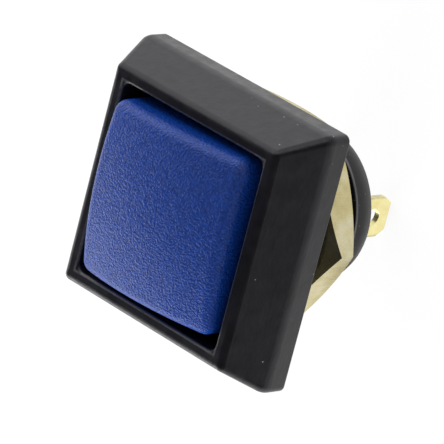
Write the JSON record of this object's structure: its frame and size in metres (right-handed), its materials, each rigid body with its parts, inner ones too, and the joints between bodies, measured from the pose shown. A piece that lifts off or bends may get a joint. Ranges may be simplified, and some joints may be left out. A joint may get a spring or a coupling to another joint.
{
  "type": "panel-mount pushbutton switch",
  "caption": "Sealed momentary pushbutton with a square black bezel, domed blue cap, threaded bush, brass panel nut and solder lugs.",
  "frame": {"origin": "centre of the bezel's seating face, on the bush's axis, where it lies on the panel", "axes": "+Z along the bush's axis, out of the panel through the button; the two lugs stand either side of the axis along X"},
  "size_m": [0.0176, 0.0176, 0.0194],
  "materials": {
    "black_body": "satin black",
    "blue_cap": "spark-grained matte",
    "stem_plastic": "moulded",
    "spring_steel": "bright drawn",
    "seal_rubber": "matte",
    "contact_brass": "stamped",
    "contact_silver": "polished",
    "gold_plate": "gold plated",
    "base_plastic": "moulded",
    "potting_resin": "cast resin",
    "nut_brass": "turned"
  },
  "bodies": {
    "body": {"housing": "black_body", "seal_washer": "spring_steel", "shaft_seal": "seal_rubber", "return_spring": "spring_steel", "contact_base": "base_plastic", "terminal_left": "gold_plate", "terminal_right": "gold_plate", "fixed_contact_left": "contact_silver", "fixed_contact_right": "contact_silver", "potting": "potting_resin", "panel_seal": "seal_rubber"},
    "button": {"button_cap": "blue_cap", "plunger": "stem_plastic", "retaining_clip": "spring_steel", "contact_spring": "spring_steel"},
    "bridge": {"contact_bridge": "contact_brass", "moving_contact_left": "contact_silver", "moving_contact_right": "contact_silver"},
    "nut": {"hex_nut": "nut_brass"}
  },
  "joints": [
    {"name": "button_press", "type": "slide", "parent": "body", "child": "button", "axis": [0, 0, -1], "range_m": [0, 0.001], "stiffness_N_per_m": 1500, "springref_m": -0.0015, "deforming": ["return_spring"]},
    {"name": "bridge_close", "type": "slide", "parent": "body", "child": "bridge", "axis": [0, 0, -1], "range_m": [0, 0.0006], "deforming": ["contact_spring"]},
    {"name": "nut_turn", "type": "hinge", "parent": "body", "child": "nut", "pos_m": [0, 0, -0.0035], "axis": [0, 0, 1], "continuous": true}
  ],
  "couplings": [
    {"joint": "bridge_close", "follows": "button_press", "ratio": 0.6}
  ]
}
